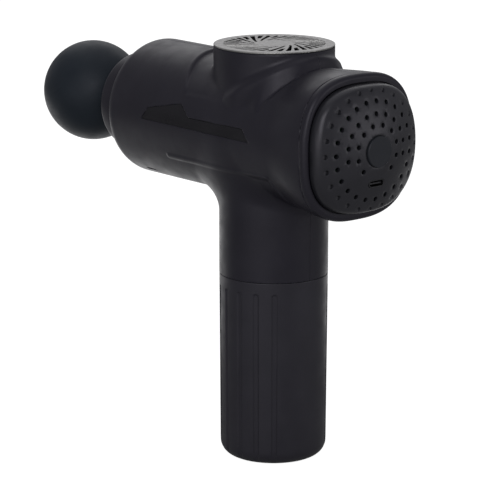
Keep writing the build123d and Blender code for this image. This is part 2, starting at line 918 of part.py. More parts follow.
with BuildPart() as rotor_magnets:
    pole_pitch = 360 / pole_count
    for index in range(pole_count):
        start_turn = index * pole_pitch + 1.5
        with BuildSketch(Plane.XY.offset(stack_bottom_z - 0.5)):
            with BuildLine():
                outer = CenterArc((0, 0), magnet_outer_r, start_turn, pole_pitch - 3)
                inner = CenterArc((0, 0), magnet_inner_r, start_turn, pole_pitch - 3)
                Line(outer @ 0, inner @ 0)
                Line(outer @ 1, inner @ 1)
            make_face()
        extrude(amount=stack_height + 1)
save(rotor_magnets, "rotor_magnets")

crank_top_z = plate_z - 0.3
crank_thickness = 3.9
yoke_half_h = 4.0
with BuildPart() as motor_shaft:
    with BuildSketch(Plane.XY.offset(crank_top_z - crank_thickness)):
        Circle(shaft_r)
    extrude(amount=191.0 - crank_top_z + crank_thickness)
save(motor_shaft, "motor_shaft")

with BuildPart() as crank_weight:
    with BuildSketch(Plane.XY.offset(crank_top_z - crank_thickness)):
        Circle(9.2)
        with BuildLine():
            rim_arc = CenterArc((0, 0), 14.5, -75, 150)
            Polyline(rim_arc @ 1, (0, 0), rim_arc @ 0)
        make_face()
        Circle(shaft_r, mode=Mode.SUBTRACT)
        with Locations((-crank_throw, 0)):
            Circle(pin_r, mode=Mode.SUBTRACT)
    extrude(amount=crank_thickness)
save(crank_weight, "crank_weight")

with BuildPart() as crank_pin:
    with BuildSketch(Plane.XY.offset(axis_z - yoke_half_h - 0.6)):
        with Locations((-crank_throw, 0)):
            Circle(pin_r)
    extrude(amount=crank_top_z - axis_z + yoke_half_h + 0.6)
save(crank_pin, "crank_pin")

with BuildPart() as pin_roller:
    with BuildSketch(Plane.XY.offset(axis_z - yoke_half_h + 0.2)):
        with Locations((-crank_throw, 0)):
            Circle(roller_r)
            Circle(pin_r + fit, mode=Mode.SUBTRACT)
    extrude(amount=2 * yoke_half_h - 0.4)
save(pin_roller, "pin_roller")

with BuildPart() as cooling_fan:
    with BuildSketch(Plane.XY.offset(bell_top_z)):
        Circle(fan_r)
        Circle(shaft_r, mode=Mode.SUBTRACT)
    extrude(amount=0.9)
    with BuildSketch(Plane.XY.offset(bell_top_z + 0.9)):
        Circle(7.0)
        Circle(shaft_r, mode=Mode.SUBTRACT)
    extrude(amount=4.6)
    with BuildSketch(Plane.XY.offset(bell_top_z + 0.9)):
        for index in range(fan_blades):
            turn = index * 360 / fan_blades
            with BuildLine():
                blade = ThreePointArc(
                    PolarLine((0, 0), 6.5, turn, mode=Mode.PRIVATE) @ 1,
                    PolarLine((0, 0), 14.0, turn + 12, mode=Mode.PRIVATE) @ 1,
                    PolarLine((0, 0), fan_r - 0.3, turn + 34, mode=Mode.PRIVATE) @ 1,
                )
                offset(blade, amount=0.45, side=Side.BOTH)
            make_face()
        Circle(shaft_r, mode=Mode.SUBTRACT)
    extrude(amount=4.2)
save(cooling_fan, "cooling_fan")

# ---- piston -------------------------------------------------------------------------

yoke_x = -crank_throw
slot_half_w = roller_r + yoke_slack
slot_half_l = crank_throw + roller_r + 0.5
yoke_half_w = 15.0
yoke_front_x = yoke_x + slot_half_w + 5.0
neck_front_x = 34.0
yoke_pin_x = neck_front_x + 5.0
yoke_pin_bar = rod_along((0, 0, 1), (yoke_pin_x, 0, axis_z - 8.5), 1.0, 17.0)
with BuildPart() as crank_yoke:
    with BuildSketch(Plane.XY.offset(axis_z - yoke_half_h)):
        with Locations((yoke_x, 0)):
            RectangleRounded(2 * slot_half_w + 10, 2 * yoke_half_w, 3)
        with Locations(((yoke_front_x + neck_front_x) / 2, 0)):
            Rectangle(neck_front_x - yoke_front_x + 1, 15)
        with Locations((yoke_x, 0)):
            RectangleRounded(2 * slot_half_w, 2 * slot_half_l, slot_half_w - 0.4, mode=Mode.SUBTRACT)
    extrude(amount=2 * yoke_half_h)
    with BuildSketch(across(neck_front_x + 0.5)):
        Circle(3.0)
    extrude(amount=9.0)
    add(yoke_pin_bar, mode=Mode.SUBTRACT)
save(crank_yoke, "crank_yoke")

socket_depth = 27.0
with BuildPart() as piston_rod:
    add(
        turned_x(
            [
                (neck_front_x + 0.5, 3.0),
                (neck_front_x + 0.5, rod_r),
                (81.5, rod_r),
                (82.5, rod_head_r),
                (rod_front_x - 0.8, rod_head_r),
                (rod_front_x, rod_head_r - 0.8),
                (rod_front_x, socket_r),
                (rod_front_x - socket_depth, socket_r),
                (rod_front_x - socket_depth, 4.5),
                (rod_front_x - socket_depth - 2.0, 4.5),
                (rod_front_x - socket_depth - 2.0, rod_bore_r),
                (neck_front_x + 12.0, rod_bore_r),
                (neck_front_x + 12.0, 3.0),
            ]
        )
    )
    add(yoke_pin_bar, mode=Mode.SUBTRACT)
save(piston_rod, "piston_rod")

with BuildPart() as yoke_pin:
    add(yoke_pin_bar)
save(yoke_pin, "yoke_pin")

# ---- massage head -------------------------------------------------------------------

stem_end_x = rod_front_x - socket_depth + 1.0
neck_back_x = rod_front_x + 0.4
ring_groove_x = (88.0, 97.0)
core_front_x = ball_x - 6.0
core_hollow_r = 6.4
with BuildPart() as head_stem:
    add(
        turned_x(
            [
                (stem_end_x, 0),
                (stem_end_x, stem_r - 0.8),
                (stem_end_x + 0.8, stem_r),
                (neck_back_x, stem_r),
                (neck_back_x, neck_r - 2.0),
                (core_front_x, neck_r - 2.0),
                (core_front_x, core_hollow_r),
                (neck_back_x + 4.0, core_hollow_r),
                (neck_back_x + 4.0, 0),
            ]
        )
    )
    for groove_x in ring_groove_x:
        with BuildSketch(across(groove_x - 1.0)):
            Circle(stem_r + 1)
            Circle(stem_r - 1.9, mode=Mode.SUBTRACT)
        extrude(amount=2.0, mode=Mode.SUBTRACT)
save(head_stem, "head_stem")

with BuildPart() as stem_rings:
    for groove_x in ring_groove_x:
        with BuildSketch(Plane.XZ):
            with Locations((groove_x, axis_z + stem_r - 0.95)):
                Circle(0.93)
        revolve(axis=barrel_axis)
save(stem_rings, "stem_rings")

with BuildPart() as massage_ball:
    with Locations((ball_x, 0, axis_z)):
        Sphere(ball_r)
    with BuildSketch(across(neck_back_x)):
        Circle(neck_r)
    extrude(amount=ball_x - neck_back_x)
    neck_edge = massage_ball.edges().filter_by(GeomType.CIRCLE).group_by(Axis.X)[1]
    fillet(neck_edge, 1.2)
    with Locations((ball_x, 0, axis_z)):
        Sphere(ball_r - ball_wall, mode=Mode.SUBTRACT)
    # Tube inside the ball that grips the stem's core.
    with BuildSketch(across(ball_x - ball_r + ball_wall)):
        Circle(neck_r + 0.4)
    extrude(amount=core_front_x - ball_x + ball_r - ball_wall)
    with BuildSketch(across(neck_back_x)):
        Circle(neck_r - 2.0)
    extrude(amount=core_front_x - neck_back_x, mode=Mode.SUBTRACT)
save(massage_ball, "massage_ball")

# ---- grip and foot ------------------------------------------------------------------

with BuildPart() as grip_sleeve:
    with BuildSketch(Plane.XZ):
        with BuildLine():
            foot_arc = RadiusArc((foot_lip_r, 0), (base_r, foot_round), -foot_round)
            Polyline(
                foot_arc @ 1,
                (grip_top_r, grip_top_z),
                (core_r, grip_top_z),
                (core_r, 7.2),
                (foot_lip_r, 7.2),
                foot_arc @ 0,
            )
        make_face()
    revolve(axis=Axis.Z)
    for turn in flute_angles:
        away = Vector(sin(radians(turn)), cos(radians(turn)), 0)
        flute_foot = away * (grip_top_r - flute_depth + flute_r) + Vector(0, 0, flute_foot_z)
        with BuildSketch(Plane(origin=flute_foot)):
            Circle(flute_r)
        extrude(amount=flute_top_z - flute_foot_z, mode=Mode.SUBTRACT)
        with Locations(flute_foot + Vector(0, 0, flute_top_z - flute_foot_z)):
            Sphere(flute_r, mode=Mode.SUBTRACT)
save(grip_sleeve, "grip_sleeve")

pad_r = 13.0
foot_screw_circle_r = 8.0
with BuildPart() as foot_cap:
    add(
        turned_z(
            [
                (0, 1.2),
                (pad_r + 0.1, 1.2),
                (pad_r + 0.1, 0),
                (foot_lip_r - 0.1, 0),
                (foot_lip_r - 0.1, 7.2),
                (core_bore_r - 0.1, 7.2),
                (core_bore_r - 0.1, 9.0),
                (0, 9.0),
            ]
        )
    )
    with BuildSketch(Plane.XY):
        with PolarLocations(foot_screw_circle_r, 3, start_angle=60):
            Circle(2.3)
    extrude(amount=4.0, mode=Mode.SUBTRACT)
    with BuildSketch(Plane.XY):
        with PolarLocations(foot_screw_circle_r, 3, start_angle=60):
            Circle(1.3)
    extrude(amount=10.0, mode=Mode.SUBTRACT)
save(foot_cap, "foot_cap")

with BuildPart() as foot_pad:
    with BuildSketch(Plane.XY):
        Circle(pad_r)
    extrude(amount=1.2)
save(foot_pad, "foot_pad")

with BuildPart() as foot_screws:
    with BuildSketch(Plane.XY.offset(2.2)):
        with PolarLocations(foot_screw_circle_r, 3, start_angle=60):
            Circle(2.2)
    extrude(amount=1.8)
    with BuildSketch(Plane.XY.offset(4.0)):
        with PolarLocations(foot_screw_circle_r, 3, start_angle=60):
            Circle(1.15)
    extrude(amount=8.8)
save(foot_screws, "foot_screws")

# ---- battery ------------------------------------------------------------------------

cell_top_z = cell_bottom_z + cell_length
with BuildPart() as battery_cells:
    with BuildSketch(Plane.XY.offset(cell_bottom_z)):
        with PolarLocations(cell_circle_r, 3, start_angle=0):
            Circle(cell_r)
    extrude(amount=cell_length)
save(battery_cells, "battery_cells")

holder_r = core_bore_r - 0.1
link_thickness = 0.3
holder_floor_z = 9.0
with BuildPart() as cell_holder_lower:
    with BuildSketch(Plane.XY.offset(holder_floor_z)):
        Circle(holder_r)
    extrude(amount=cell_bottom_z + 4.0 - holder_floor_z)
    with BuildSketch(Plane.XY.offset(cell_bottom_z - link_thickness)):
        with PolarLocations(cell_circle_r, 3, start_angle=0):
            Circle(cell_r + 0.1)
    extrude(amount=5.0, mode=Mode.SUBTRACT)
    with BuildSketch(Plane.XY.offset(holder_floor_z)):
        with PolarLocations(foot_screw_circle_r, 3, start_angle=60):
            Circle(1.15)
    extrude(amount=3.8, mode=Mode.SUBTRACT)
save(cell_holder_lower, "cell_holder_lower")

with BuildPart() as cell_holder_upper:
    with BuildSketch(Plane.XY.offset(cell_top_z - 5.0)):
        Circle(holder_r)
    extrude(amount=8.4)
    with BuildSketch(Plane.XY.offset(cell_top_z - 5.0)):
        with PolarLocations(cell_circle_r, 3, start_angle=0):
            Circle(cell_r + 0.1)
    extrude(amount=5.0 + link_thickness, mode=Mode.SUBTRACT)
    with BuildSketch(Plane.XY.offset(cell_top_z - 5.0)):
        Circle(3.0)
    extrude(amount=8.4, mode=Mode.SUBTRACT)
save(cell_holder_upper, "cell_holder_upper")

with BuildPart() as cell_links:
    for link_z in (cell_bottom_z - link_thickness, cell_top_z):
        with BuildSketch(Plane.XY.offset(link_z)):
            with PolarLocations(cell_circle_r, 3, start_angle=0):
                Rectangle(7, 7)
        extrude(amount=link_thickness)
save(cell_links, "cell_links")

protection_board_z = cell_top_z + 3.6
with BuildPart() as protection_board:
    with BuildSketch(Plane.XY.offset(protection_board_z)):
        Rectangle(22, 30)
    extrude(amount=1.2)
    with BuildSketch(Plane.XY.offset(protection_board_z + 1.2)):
        with Locations((-5, -6), (-5, 0), (-5, 6), (5, 0)):
            Rectangle(4, 4)
    extrude(amount=1.0)
save(protection_board, "protection_board")

# ---- wiring -------------------------------------------------------------------------


def wire(route, bend_r, wire_r):
    """Insulated wire along straight runs joined by tangent arcs."""
    first = Vector(*route[0])
    second = Vector(*route[1])
    with BuildPart() as lead:
        with BuildLine() as path:
            FilletPolyline(*route, radius=bend_r)
        with BuildSketch(Plane(origin=first, z_dir=second - first)):
            Circle(wire_r)
        sweep(path=path.line)
    return lead.part


board_front_x = board_x + board_thickness
board_top_z = protection_board_z + 1.2
with BuildPart() as battery_lead:
    for side in (-1, 1):
        add(
            wire(
                [
                    (5, 8 * side, board_top_z),
                    (5, 8 * side, board_top_z + 12),
                    (-6, 3 * side, board_top_z + 28),
                    (-12, 2 * side, board_top_z + 48),
                    (-26, 2 * side, board_top_z + 58),
                    (board_front_x, 2 * side, board_top_z + 58),
                ],
                5.0,
                0.8,
            )
        )
save(battery_lead, "battery_lead")

lead_z = plate_z + plate_thickness - 0.75
with BuildPart() as motor_leads:
    for lead_y in (-1.4, 0.0, 1.4):
        add(
            wire(
                [
                    (-11.0, lead_y, stack_bottom_z - 1.3),
                    (-11.0, lead_y, lead_z),
                    (-26.0, lead_y, lead_z),
                    (-42.0, lead_y, lead_z + 3.0),
                    (board_front_x, lead_y, lead_z + 3.5),
                ],
                0.6,
                0.5,
            )
        )
save(motor_leads, "motor_leads")
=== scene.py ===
"""Looks of the percussion massage gun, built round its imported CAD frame.

Shapes are worked out in millimetres in the frame's own axes (+X towards the massage
head, +Y the gun's left, +Z up) and turned into metres when a mesh is made.
"""

import json
from math import cos, pi, radians, sin

import bpy
import numpy as np
from mathutils import Matrix, Vector


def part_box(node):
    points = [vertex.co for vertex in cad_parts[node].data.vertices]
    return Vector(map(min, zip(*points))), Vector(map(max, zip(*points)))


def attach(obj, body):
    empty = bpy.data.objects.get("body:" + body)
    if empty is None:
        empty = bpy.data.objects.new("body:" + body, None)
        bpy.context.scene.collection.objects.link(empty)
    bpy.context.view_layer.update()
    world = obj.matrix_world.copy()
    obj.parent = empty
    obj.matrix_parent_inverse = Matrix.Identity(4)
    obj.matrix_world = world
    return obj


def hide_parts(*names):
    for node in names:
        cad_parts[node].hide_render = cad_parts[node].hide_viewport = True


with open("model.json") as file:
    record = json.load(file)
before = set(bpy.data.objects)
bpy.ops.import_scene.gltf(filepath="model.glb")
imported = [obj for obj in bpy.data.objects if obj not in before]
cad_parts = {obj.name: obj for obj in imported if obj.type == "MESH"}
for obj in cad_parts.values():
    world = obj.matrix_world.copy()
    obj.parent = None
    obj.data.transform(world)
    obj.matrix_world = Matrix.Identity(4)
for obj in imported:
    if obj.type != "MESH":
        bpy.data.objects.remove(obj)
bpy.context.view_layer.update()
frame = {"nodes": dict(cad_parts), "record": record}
nodes = frame["nodes"]
MM = 0.001


def box_mm(node):
    """Lowest and highest corner of a CAD node in millimetres."""
    low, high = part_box(node)
    return np.array(low) / MM, np.array(high) / MM


# ---- sizes of the housing -----------------------------------------------------------

axis_z = (box_mm("nose_ring")[0][2] + box_mm("nose_ring")[1][2]) / 2
grip_top_z = box_mm("grip_sleeve")[1][2]
boss_top_z = box_mm("disc_gasket")[0][2]

barrel_r = 32.7
wall = 2.4
shoulder_x = 81.0                 # the barrel's front edge starts to round here
shoulder_length = 7.0
shoulder_height = 7.5
collar_x = shoulder_x + shoulder_length
nose_opening_r = 22.9
nose_opening_length = 10.0
blend_x = -31.0                   # from here rearwards the barrel turns into a rounded square
rear_x = -54.5
rear_half = 33.2
rear_power = 2.7                  # squareness at the rear; 2 is a circle

belly_z = axis_z - barrel_r * sin(radians(28.0))
belly_front_x = 40.0
belly_rear_x = -29.5
belly_inset = 0.7
belly_fade = 60.0
belly_rake = 0.1
belly_edge = 1.5
rail_path = ((42.0, belly_z), (-28.5, belly_z), (-31.5, belly_z - 6.5), (-31.5, belly_z - 11))
rail_height = 0.5
rail_half_width = 1.7
rail_crown = 0.4                  # half width of the rail's flat top

boss_r = 28.1
boss_bore_r = 25.5
boss_join = 3.6                   # fillet between boss and barrel
skirt_r = 30.2
skirt_line_x = (-30.0, -5.0, 5.0)
skirt_line_z = (194.0, 178.2, 172.0)
skirt_side_span = (7.0, -7.0)     # the skirt grows out of the boss along this span
skirt_flare = 0.36
skirt_flare_span = (-9.0, -22.0)
skirt_foot_z = 171.8
skirt_round = 2.0
skirt_join = 0.5
saddle_r = 41.6
saddle_z = 172.2
saddle_depth = 1.5
saddle_foot_share = 0.25          # share of the depth that is left at the saddle's lower edge
saddle_fade = 9.0
saddle_rear_x = -21.5
saddle_rake = 0.7
saddle_edge = (0.9, -1.2)

handle_r = 25.6
tube_r = 23.2
tube_bore_r = 21.2
fillet_front = 12.0
fillet_rear = 5.0

panel_depth = 0.7
panel_outline = (
    (58.4, 0.6),
    (54.1, 6.4),
    (30.8, 11.2),
    (23.7, 5.6),
    (-14.3, 5.9),
    (-19.6, 0.2),
)

slit_spots = ((69.0, -57.0), (-36.0, -57.0))
slit_half_length = 2.8
slit_r = 0.7
slit_floor_r = 26.0               # the slits are cut from here outwards
screw_spots = (-18.0, 18.0)
screw_z = 93.0
screw_r = 2.9
screw_seat_y = 13.8               # depth of the pockets, from the middle plane
screw_pocket_x = 19.0             # the pockets stop here, so that the wall covers the screw heads

skin_edge = 0.35                  # rounding of the housing's rims
grip_seam_edge = 0.05
parting_gap = 0.012               # each half stops this short of the middle plane
parting_edge = 0.06
cell = 0.6                        # size of the mesh cells on the housing
longest_pull = 0.3                # how far a vertex may move to reach the true surface

# ---- sizes of the grip and the tube in it -------------------------------------------

tube_foot_z = 7.2
tube_clearance = 0.02
grip_foot_r = 25.0
grip_top_r = 25.55
grip_edge = 0.06
grip_lip_r = 18.4
foot_round = 6.5
# Six flutes on either flank, 20 degrees apart, measured from +Y towards +X.
flute_turns = (10, 30, 50, 130, 150, 170, 190, 210, 230, 310, 330, 350)
flute_width = 3.0
flute_depth = 0.5
flute_foot_z = 3.0
flute_top_z = 82.0

# ---- sizes of the slotted disc ------------------------------------------------------

disc_top_z = box_mm("top_disc")[1][2]
disc_thickness = 0.7
disc_edge = 0.3
spigot_r = 24.65
spigot_half_wall = 0.75
spigot_length = 4.9
slot_pitch = 2 * pi / 17
slot_span = (0.33 * boss_r, 0.84 * boss_r)
short_slot_start = 0.58 * boss_r
slot_swirl = radians(60.0)


# ---- shaping with level fields ------------------------------------------------------


def ease(start, end, value):
    """0 before start, 1 after end, smooth in between."""
    t = np.clip((value - start) / (end - start), 0, 1)
    return t * t * (3 - 2 * t)


def join(a, b, radius):
    """Both solids, with a round fillet where they meet."""
    corner = np.hypot(np.maximum(radius - a, 0), np.maximum(radius - b, 0))
    return np.maximum(radius, np.minimum(a, b)) - corner


def common(a, b, radius):
    """What both solids share, with its edge rounded."""
    return -join(-a, -b, radius)


def line_gap(points, u, v):
    """Distance from an open chain of straight lines in a plane."""
    nearest = np.inf
    for (au, av), (bu, bv) in zip(points, points[1:]):
        du, dv = bu - au, bv - av
        along = np.clip(((u - au) * du + (v - av) * dv) / (du * du + dv * dv), 0, 1)
        nearest = np.minimum(nearest, np.hypot(u - au - along * du, v - av - along * dv))
    return nearest


def polygon_level(points, u, v):
    """Signed distance from a closed outline in a plane, negative inside."""
    outline = points + points[:1]
    inside = np.zeros(np.shape(u), bool)
    for (au, av), (bu, bv) in zip(outline, outline[1:]):
        spans = (av > v) != (bv > v)
        if av != bv:
            inside ^= spans & (u < au + (v - av) * (bu - au) / (bv - av))
    gap = line_gap(outline, u, v)
    return np.where(inside, -gap, gap)


def barrel_level(x, y, z, inset=0.0):
    """The barrel's skin: round, a rounded square behind and a quarter ellipse in front."""
    squareness = ease(blend_x, rear_x, x)
    power = 2 + (rear_power - 2) * squareness
    half = barrel_r - inset + (rear_half - barrel_r) * squareness
    reach = (np.abs(y) ** power + np.abs(z - axis_z) ** power) ** (1 / power)
    height = shoulder_height - inset
    ahead = np.maximum(x - shoulder_x, 0) / (shoulder_length - inset)
    outward = np.maximum(reach - half + height, 0) / height
    return (np.hypot(ahead, outward) - 1) * height


def belly_sink(x, z):
    """How far the barrel's lower flank lies back under its rail."""
    drop = belly_z - z
    depth = belly_inset * ease(belly_front_x, belly_front_x - belly_fade, x)
    belly = np.maximum(-drop, belly_rear_x - belly_rake * drop - x)
    return depth * ease(belly_edge, -belly_edge, belly)


def rail_rise(x, z):
    """How far the thin rail stands out of the flank."""
    return rail_height * ease(rail_half_width, rail_crown, line_gap(rail_path, x, z))


def saddle_sink(x, z, around):
    """How deep the saddle round the boss is pressed into the barrel's top."""
    rear_edge = saddle_rear_x - saddle_rake * (z - saddle_z)
    saddle = np.maximum.reduce([around - saddle_r, saddle_z - z, 0.8 * (rear_edge - x)])
    rise = ease(saddle_z, saddle_z + saddle_fade, z)
    depth = saddle_depth * (saddle_foot_share + (1 - saddle_foot_share) * rise)
    return depth * ease(*saddle_edge, saddle)


def skirt_level(x, z, around):
    """The skirt behind the boss: it flares out rearwards under a slanting crest."""
    crest = np.interp(x, skirt_line_x, skirt_line_z)
    fall = crest - np.maximum(z, skirt_foot_z)
    flare = skirt_r - boss_r + skirt_flare * fall * ease(*skirt_flare_span, x)
    side = boss_r + flare * ease(*skirt_side_span, x)
    # Both faces slope, so their levels are scaled down to stay near true distances.
    skirt = common(0.94 * (around - side), 0.85 * (z - crest), skirt_round)
    return np.maximum(skirt, axis_z - z)


def housing_skin(x, y, z):
    """Barrel, boss and bare handle with their soft moulded transitions."""
    around = np.hypot(x, y)
    level = barrel_level(x, y, z) + belly_sink(x, z) - rail_rise(x, z) + saddle_sink(x, z, around)
    level = join(level, skirt_level(x, z, around), skirt_join)
    boss = common(around - boss_r, z - boss_top_z, skin_edge)
    level = join(level, np.maximum(boss, axis_z - z), boss_join)
    handle = np.maximum(around - handle_r, z - axis_z)
    fillet = np.interp(x, (-handle_r, handle_r), (fillet_rear, fillet_front))
    return join(level, handle, fillet)


def housing_hollow(x, y, z):
    """The space inside the housing, with its openings at the nose, rear, top and handle."""
    around = np.hypot(x, y)
    hollow = barrel_level(x, y, z, wall)
    hollow = np.minimum(hollow, np.maximum(around - boss_bore_r, axis_z - z))
    hollow = np.minimum(hollow, np.maximum(around - handle_r + wall, z - axis_z))
    nose = np.maximum(np.hypot(y, z - axis_z) - nose_opening_r, collar_x - nose_opening_length - x)
    return np.minimum(hollow, nose)


def slit_level(x, y, z, slit_x, turn):
    """A slim rounded slot cut through the barrel's wall at one turn about its axis."""
    outward = y * cos(radians(turn)) + (z - axis_z) * sin(radians(turn))
    across = (z - axis_z) * cos(radians(turn)) - y * sin(radians(turn))
    slot = np.hypot(np.maximum(np.abs(x - slit_x) - slit_half_length, 0), across) - slit_r
    return np.maximum(slot, slit_floor_r - outward)


def housing_half(x, y, z, with_screws):
    """One half of the housing, drawn on the +Y side of the parting plane."""
    level = housing_skin(x, y, z)
    level = common(level, x - collar_x, skin_edge)
    level = common(level, rear_x - x, skin_edge)
    level = common(level, grip_top_z - z, grip_seam_edge)
    panel = polygon_level(panel_outline, x, z - axis_z)
    recess = np.maximum(panel, barrel_r - panel_depth - np.hypot(y, z - axis_z))
    level = np.maximum(level, -recess)
    level = np.maximum(level, -housing_hollow(x, y, z))
    for slit_x, turn in slit_spots:
        level = np.maximum(level, -slit_level(x, y, z, slit_x, turn))
    if with_screws:
        for spot in screw_spots:
            bore = np.hypot(x - spot, z - screw_z) - screw_r
            pocket = np.maximum(bore, np.abs(x) - screw_pocket_x)
            level = np.maximum(level, -np.maximum(pocket, screw_seat_y - y))
    return common(level, parting_gap - y, parting_edge)


def grid_lines(start, end, step, fine_spans=()):
    """Positions from start to end a step apart, closer together within the fine spans."""
    lines = [start]
    while lines[-1] < end:
        here = lines[-1]
        steps = [fine for low, high, fine in fine_spans if low <= here < high]
        lines.append(here + min(steps + [step]))
    return np.array(lines)


def field_points(level, lines):
    """Vertices and faces of a field's zero surface, one vertex for each crossed cell."""
    grid = np.meshgrid(*lines, indexing="ij")
    values = level(*grid)
    cells = np.array(values.shape) - 1
    total = np.zeros((cells.prod(), 3))
    count = np.zeros(cells.prod())
    crossings = []
    for axis in range(3):
        side_a, side_b = (axis + 1) % 3, (axis + 2) % 3
        low = np.take(values, range(values.shape[axis] - 1), axis)
        high = np.take(values, range(1, values.shape[axis]), axis)
        index = np.stack(np.nonzero((low < 0) != (high < 0)), axis=1)
        at_low = low[tuple(index.T)]
        share = at_low / (at_low - high[tuple(index.T)])
        point = np.stack([lines[k][index[:, k]] for k in range(3)], axis=1)
        step = lines[axis][index[:, axis] + 1] - lines[axis][index[:, axis]]
        point[:, axis] += share * step
        around, whole = [], np.ones(len(index), bool)
        for shift_a, shift_b in ((1, 1), (0, 1), (0, 0), (1, 0)):
            cell = index.copy()
            cell[:, side_a] -= shift_a
            cell[:, side_b] -= shift_b
            fits = ((cell >= 0) & (cell < cells)).all(axis=1)
            flat = np.ravel_multi_index(tuple(np.clip(cell, 0, cells - 1).T), cells)
            np.add.at(total, flat[fits], point[fits])
            np.add.at(count, flat[fits], 1)
            around.append(flat)
            whole &= fits
        quads = np.stack(around, axis=1)
        quads[at_low > 0] = quads[at_low > 0][:, ::-1]
        crossings.append(quads[whole])
    used = np.nonzero(count)[0]
    number = np.full(cells.prod(), -1)
    number[used] = np.arange(len(used))
    return total[used] / count[used, None], number[np.concatenate(crossings)]


def field_slope(level, points, reach=0.02):
    """Gradient of a field at the points."""
    slope = np.zeros_like(points)
    for axis in range(3):
        ahead, behind = points.copy(), points.copy()
        ahead[:, axis] += reach
        behind[:, axis] -= reach
        slope[:, axis] = (level(*ahead.T) - level(*behind.T)) / (2 * reach)
    return slope


def field_mesh(name, level, lines, mirror=False):
    """A piece on a field's zero surface, its vertices pulled exactly onto that surface."""
    points, quads = field_points(level, lines)
    start = points.copy()
    for _ in range(3):
        slope = field_slope(level, points)
        steep = np.maximum((slope**2).sum(axis=1), 0.05)
        points = points - slope * (level(*points.T) / steep)[:, None]
        points = start + np.clip(points - start, -longest_pull, longest_pull)
    if mirror:
        points[:, 1] *= -1
        quads = quads[:, ::-1]
    return new_piece(name, points, quads)


# ---- pieces -------------------------------------------------------------------------


def new_piece(name, points, faces, crease=38.0):
    """A smooth-shaded object from points in millimetres; edges over the crease stay sharp."""
    mesh = bpy.data.meshes.new(name)
    points = np.asarray(points) * MM
    mesh.from_pydata(points.tolist(), [], np.asarray(faces).tolist())
    mesh.validate()
    mesh.shade_smooth()
    mesh.set_sharp_from_angle(angle=radians(crease))
    piece = bpy.data.objects.new(name, mesh)
    bpy.context.scene.collection.objects.link(piece)
    return piece


def lathe_ring(radius, z, turns):
    """Points on one level ring about the handle's axis; the radius may vary with the angle."""
    angles = np.arange(turns) * 2 * pi / turns
    return np.stack([radius * np.cos(angles), radius * np.sin(angles), np.full(turns, z)], axis=1)


def turned_surface(name, rings, turns):
    """A closed surface from rings of points, each ring a list as long as turns."""
    rows = len(rings)
    points = np.concatenate([np.asarray(ring) for ring in rings])
    faces = []
    for row in range(rows):
        below, above = row * turns, (row + 1) % rows * turns
        for turn in range(turns):
            after = (turn + 1) % turns
            faces.append((below + turn, below + after, above + after, above + turn))
    return new_piece(name, points, faces)


def housing_pieces():
    """The two moulded halves, and the thin tube inside the grip."""
    panel_span = (axis_z - 0.6, axis_z + 12, 0.25)
    lines = (
        grid_lines(rear_x - cell, collar_x + cell, 0.62),
        grid_lines(-0.3, rear_half + cell, cell, ((-0.4, 0.6, 0.15),)),
        grid_lines(grip_top_z - cell, boss_top_z + cell, cell, (panel_span,)),
    )
    for side, mirrored in (("left", False), ("right", True)):

        def level(x, y, z, with_screws=mirrored):
            return housing_half(x, y, z, with_screws)

        shell = field_mesh(f"{side}_shell", level, lines, mirrored)
        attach(shell, "housing")
        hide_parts(f"housing_{side}")
        finish_piece(shell, "body_shell")
    turns = 96
    foot = ((tube_bore_r, tube_foot_z), (tube_r, tube_foot_z))
    top = ((tube_r, grip_top_z), (tube_bore_r, grip_top_z))
    tube = turned_surface("grip_tube", [lathe_ring(r, z, turns) for r, z in foot + top], turns)
    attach(tube, "housing")
    finish_piece(tube, "body_shell")


def flute_sink(angles, z):
    """How deep the grip's flutes cut at each angle, measured from +Y towards +X."""
    sink = np.zeros_like(angles)
    for turn in flute_turns:
        away = (pi / 2 - radians(turn) - angles + pi) % (2 * pi) - pi
        side = away * grip_foot_r
        past = max(z - flute_top_z, flute_foot_z - z, 0)
        reach = np.hypot(side, past) / (flute_width / 2)
        sink = np.maximum(sink, flute_depth * (1 - ease(0.55, 1.0, reach)))
    return sink


def grip_profile():
    """Radius and height up the grip's side, closer together where the flutes end."""
    profile = []
    for step in range(13):
        turn = step / 12 * pi / 2
        run = grip_foot_r - grip_lip_r
        profile.append((grip_lip_r + run * sin(turn), foot_round * (1 - cos(turn))))
    for z in np.concatenate([np.arange(8, 80, 6.0), np.arange(80.0, 84.2, 0.25), [86, 88.0]]):
        profile.append((grip_foot_r + (grip_top_r - grip_foot_r) * z / grip_top_z, z))
    for step in range(1, 5):
        turn = step / 4 * pi / 2
        profile.append((grip_top_r - grip_edge * (1 - cos(turn)), grip_top_z - grip_edge * (1 - sin(turn))))
    return profile


def grip_piece():
    """The rubber grip: fluted sides, a rounded foot and a soft upper edge."""
    turns = 540
    angles = np.arange(turns) * 2 * pi / turns
    rings = []
    for radius, z in grip_profile():
        share = 1 if z > foot_round * 0.7 else 0.6
        rings.append(lathe_ring(radius - share * flute_sink(angles, z), z, turns))
    rings.append(lathe_ring(tube_r + tube_clearance, grip_top_z, turns))
    rings.append(lathe_ring(tube_r + tube_clearance, tube_foot_z, turns))
    rings.append(lathe_ring(grip_lip_r, tube_foot_z, turns))
    grip = turned_surface("fluted_grip", rings, turns)
    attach(grip, "housing")
    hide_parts("grip_sleeve")
    finish_piece(grip, "grip_rubber")


def slots_level(radius, angle, start):
    """Level of a ring of swirling slots, each wider outwards and lagging as it goes."""
    lag = slot_swirl * (1 - slot_span[0] / np.maximum(radius, slot_span[0]))
    away = (angle + lag + slot_pitch / 2) % slot_pitch - slot_pitch / 2
    half_width = np.interp(radius, slot_span, (0.5, 1.05))
    side = np.abs(away) * radius * 0.85 - half_width
    return common(np.maximum(start - radius, radius - slot_span[1]), side, 0.4)


